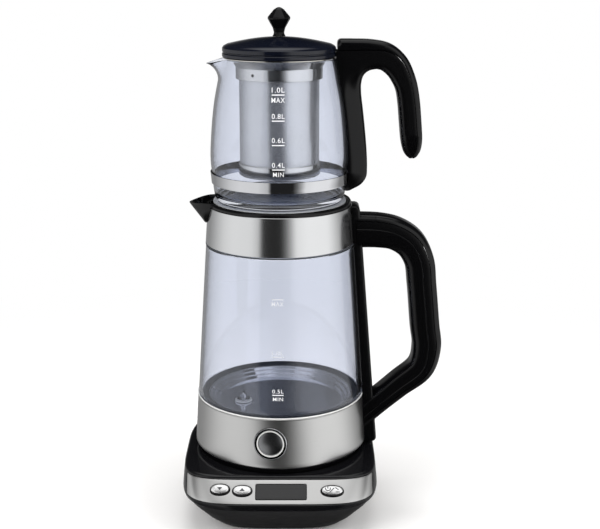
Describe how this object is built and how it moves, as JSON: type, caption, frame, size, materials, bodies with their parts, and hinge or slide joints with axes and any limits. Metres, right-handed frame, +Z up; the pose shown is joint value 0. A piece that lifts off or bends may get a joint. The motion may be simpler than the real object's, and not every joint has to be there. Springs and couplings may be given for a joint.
{
  "type": "automatic tea maker",
  "caption": "Electric tea maker: a glass kettle with a loop handle on a powered base with a sloped console, and a glass teapot with a filter basket standing on the kettle.",
  "frame": {"origin": "on the table, under the centre of the kettle", "axes": "+Z up; the console faces -Y; both handles point to +X and both spouts to -X"},
  "size_m": [0.2298, 0.1864, 0.4433],
  "materials": {
    "gloss_black": "polished black moulding",
    "satin_black": "satin black moulding",
    "tray_grey": "dark grey moulding",
    "brushed_steel": "stainless steel brushed round the body",
    "polished_steel": "polished stainless steel",
    "strainer_steel": "fine etched steel mesh",
    "glass": "clear borosilicate glass",
    "fascia_metal": "satin aluminium plate",
    "display": "grey display window, unlit",
    "button_silver": "satin silver",
    "rubber": "black rubber",
    "silicone": "dark silicone",
    "white_silicone": "white silicone",
    "nylon": "natural nylon",
    "zinc": "zinc plated",
    "circuit": "green circuit board"
  },
  "bodies": {
    "base": {"base_housing": "gloss_black", "base_tray": "tray_grey", "base_fascia": "fascia_metal", "base_connector": "satin_black", "cord_gland": "rubber", "base_foot_1": "rubber", "base_foot_2": "rubber", "base_foot_3": "rubber", "base_foot_4": "rubber", "base_screw_1": "zinc", "base_screw_2": "zinc", "base_screw_3": "zinc", "base_screw_4": "zinc", "display_window": "display", "display_module": "nylon", "control_board": "circuit", "switch_minus": "satin_black", "switch_plus": "satin_black", "switch_power": "satin_black"},
    "minus_button": {"button_minus": "button_silver"},
    "plus_button": {"button_plus": "button_silver"},
    "power_button": {"button_power": "button_silver"},
    "coupler": {"kettle_coupler": "satin_black"},
    "kettle": {"kettle_bottom_cover": "satin_black", "lower_band": "brushed_steel", "button_bezel": "polished_steel", "button_well": "satin_black", "front_switch": "satin_black", "glass_holder": "nylon", "kettle_glass": "glass", "heating_dish": "polished_steel", "dish_gasket": "silicone", "heating_element": "zinc", "kettle_control": "nylon", "probe_seal": "white_silicone", "temperature_probe": "polished_steel", "upper_seal": "silicone", "upper_band": "brushed_steel", "kettle_collar": "satin_black", "kettle_handle": "satin_black", "kettle_handle_cap": "gloss_black", "kettle_handle_screw": "zinc"},
    "heat_button": {"front_button": "gloss_black", "front_button_ring": "polished_steel"},
    "kettle_lid": {"kettle_lid": "brushed_steel", "kettle_lid_seal": "silicone"},
    "teapot": {"teapot_glass": "glass", "teapot_hoop": "polished_steel", "teapot_handle": "satin_black", "teapot_handle_cap": "gloss_black"},
    "filter": {"filter_collar": "brushed_steel", "filter_mesh": "strainer_steel", "filter_foot": "brushed_steel"},
    "teapot_lid": {"teapot_lid": "gloss_black", "lid_seal": "silicone", "lid_knob": "satin_black", "knob_screw": "zinc"}
  },
  "joints": [
    {"name": "minus_press", "type": "slide", "parent": "base", "child": "minus_button", "axis": [0, 0.7255, -0.6882], "range_m": [0, 0.0008], "stiffness_N_per_m": 900, "springref_m": -0.001},
    {"name": "plus_press", "type": "slide", "parent": "base", "child": "plus_button", "axis": [0, 0.7255, -0.6882], "range_m": [0, 0.0008], "stiffness_N_per_m": 900, "springref_m": -0.001},
    {"name": "power_press", "type": "slide", "parent": "base", "child": "power_button", "axis": [0, 0.7255, -0.6882], "range_m": [0, 0.0008], "stiffness_N_per_m": 900, "springref_m": -0.001},
    {"name": "kettle_lift", "type": "slide", "parent": "base", "child": "coupler", "axis": [0, 0, 1], "range_m": [0, 0.04]},
    {"name": "kettle_turn", "type": "hinge", "parent": "coupler", "child": "kettle", "pos_m": [0, 0, 0.0553], "axis": [0, 0, 1], "continuous": true},
    {"name": "heat_press", "type": "slide", "parent": "kettle", "child": "heat_button", "axis": [0.1008, 0.9927, -0.0663], "range_m": [0, 0.0025], "stiffness_N_per_m": 600, "springref_m": -0.002},
    {"name": "kettle_lid_lift", "type": "slide", "parent": "kettle", "child": "kettle_lid", "axis": [0, 0, 1], "range_m": [0, 0.03]},
    {"name": "teapot_lift", "type": "slide", "parent": "kettle_lid", "child": "teapot", "axis": [0, 0, 1], "range_m": [0, 0.06]},
    {"name": "filter_lift", "type": "slide", "parent": "teapot", "child": "filter", "axis": [0, 0, 1], "range_m": [0, 0.11]},
    {"name": "teapot_lid_lift", "type": "slide", "parent": "filter", "child": "teapot_lid", "axis": [0, 0, 1], "range_m": [0, 0.04]}
  ]
}
